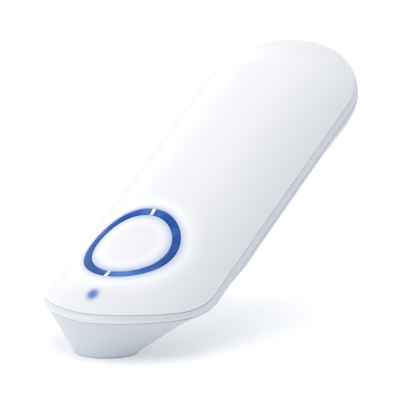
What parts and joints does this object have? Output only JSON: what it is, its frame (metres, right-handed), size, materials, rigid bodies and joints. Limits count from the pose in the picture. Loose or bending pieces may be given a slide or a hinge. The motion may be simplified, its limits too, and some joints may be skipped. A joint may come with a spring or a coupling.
{
  "type": "digital ear thermometer",
  "caption": "Domed white infrared baby thermometer: two-shell handset with a grey middle band, blue light ring round a press button, indicator dot and oblique round measuring face.",
  "frame": {"origin": "centre of the round measuring face, in the plane of the face", "axes": "-Z out of the measuring face; +X along the handset towards its tail, which rises 32 degrees from the face; +Y to the left seen from the nose"},
  "size_m": [0.099, 0.0464, 0.066],
  "materials": {
    "shell_white": "satin-gloss white moulded ABS",
    "band_grey": "satin pale lavender-grey moulded ABS",
    "housing_white": "satin-gloss white moulded ABS",
    "ring_blue": "translucent blue light guide, lit",
    "inner_white": "matt natural ABS",
    "chip_black": "black moulded package",
    "rubber_grey": "silicone rubber",
    "dot_blue": "translucent blue light pipe, lit",
    "led_yellow": "clear lamp package",
    "flex_amber": "polyimide flex strip",
    "window_dark": "dark infrared-passing window",
    "aluminium": "machined aluminium",
    "brass": "gold-plated brass",
    "steel": "nickel-plated steel",
    "board_green": "green solder mask over glass epoxy",
    "cell_jacket": "printed jacket of an alkaline cell",
    "foam_black": "closed-cell foam"
  },
  "bodies": {
    "housing": {"top_cover": "shell_white", "mid_band": "band_grey", "lower_housing": "housing_white", "light_ring_left": "ring_blue", "light_ring_right": "ring_blue", "ring_frame": "inner_white", "tact_switch": "chip_black", "indicator_lens": "dot_blue", "indicator_lamp": "led_yellow", "head_flex": "flex_amber", "nose_ring": "housing_white", "sensor_window": "window_dark", "sensor_gasket": "rubber_grey", "sensor_holder": "aluminium", "waveguide": "brass", "thermopile_can": "steel", "thermopile_base": "brass", "sensor_board": "board_green", "sensor_pin_1": "brass", "sensor_pin_2": "brass", "sensor_pin_3": "brass", "sensor_pin_4": "brass", "main_board": "board_green", "microcontroller": "chip_black", "amplifier_chip": "chip_black", "regulator_chip": "chip_black", "crystal_can": "steel", "buzzer": "chip_black", "ring_lamp_1": "led_yellow", "ring_lamp_2": "led_yellow", "ring_lamp_3": "led_yellow", "ring_lamp_4": "led_yellow", "ring_lamp_5": "led_yellow", "ring_lamp_6": "led_yellow", "battery_tray": "inner_white", "battery_left": "cell_jacket", "battery_right": "cell_jacket", "front_contact_left": "steel", "front_contact_right": "steel", "tail_contact_bridge": "steel", "tail_spring_left": "steel", "housing_screw_1": "steel", "housing_screw_2": "steel", "housing_screw_3": "steel", "housing_screw_4": "steel"},
    "button": {"power_button": "shell_white", "switch_plunger": "rubber_grey"},
    "door": {"battery_door": "housing_white", "door_foam": "foam_black"},
    "door_screw": {"door_screw": "steel"}
  },
  "joints": [
    {"name": "button_press", "type": "slide", "parent": "housing", "child": "button", "axis": [0.5299, 0, -0.848], "range_m": [0, 0.0006], "stiffness_N_per_m": 2500},
    {"name": "battery_door_hinge", "type": "hinge", "parent": "housing", "child": "door", "pos_m": [0.03683, 0, 0.01934], "axis": [0, 1, 0], "range_deg": [0, 70]},
    {"name": "door_screw_turn", "type": "hinge", "parent": "door", "child": "door_screw", "pos_m": [0.08057, 0, 0.04973], "axis": [-0.5299, 0, 0.848], "continuous": true}
  ]
}
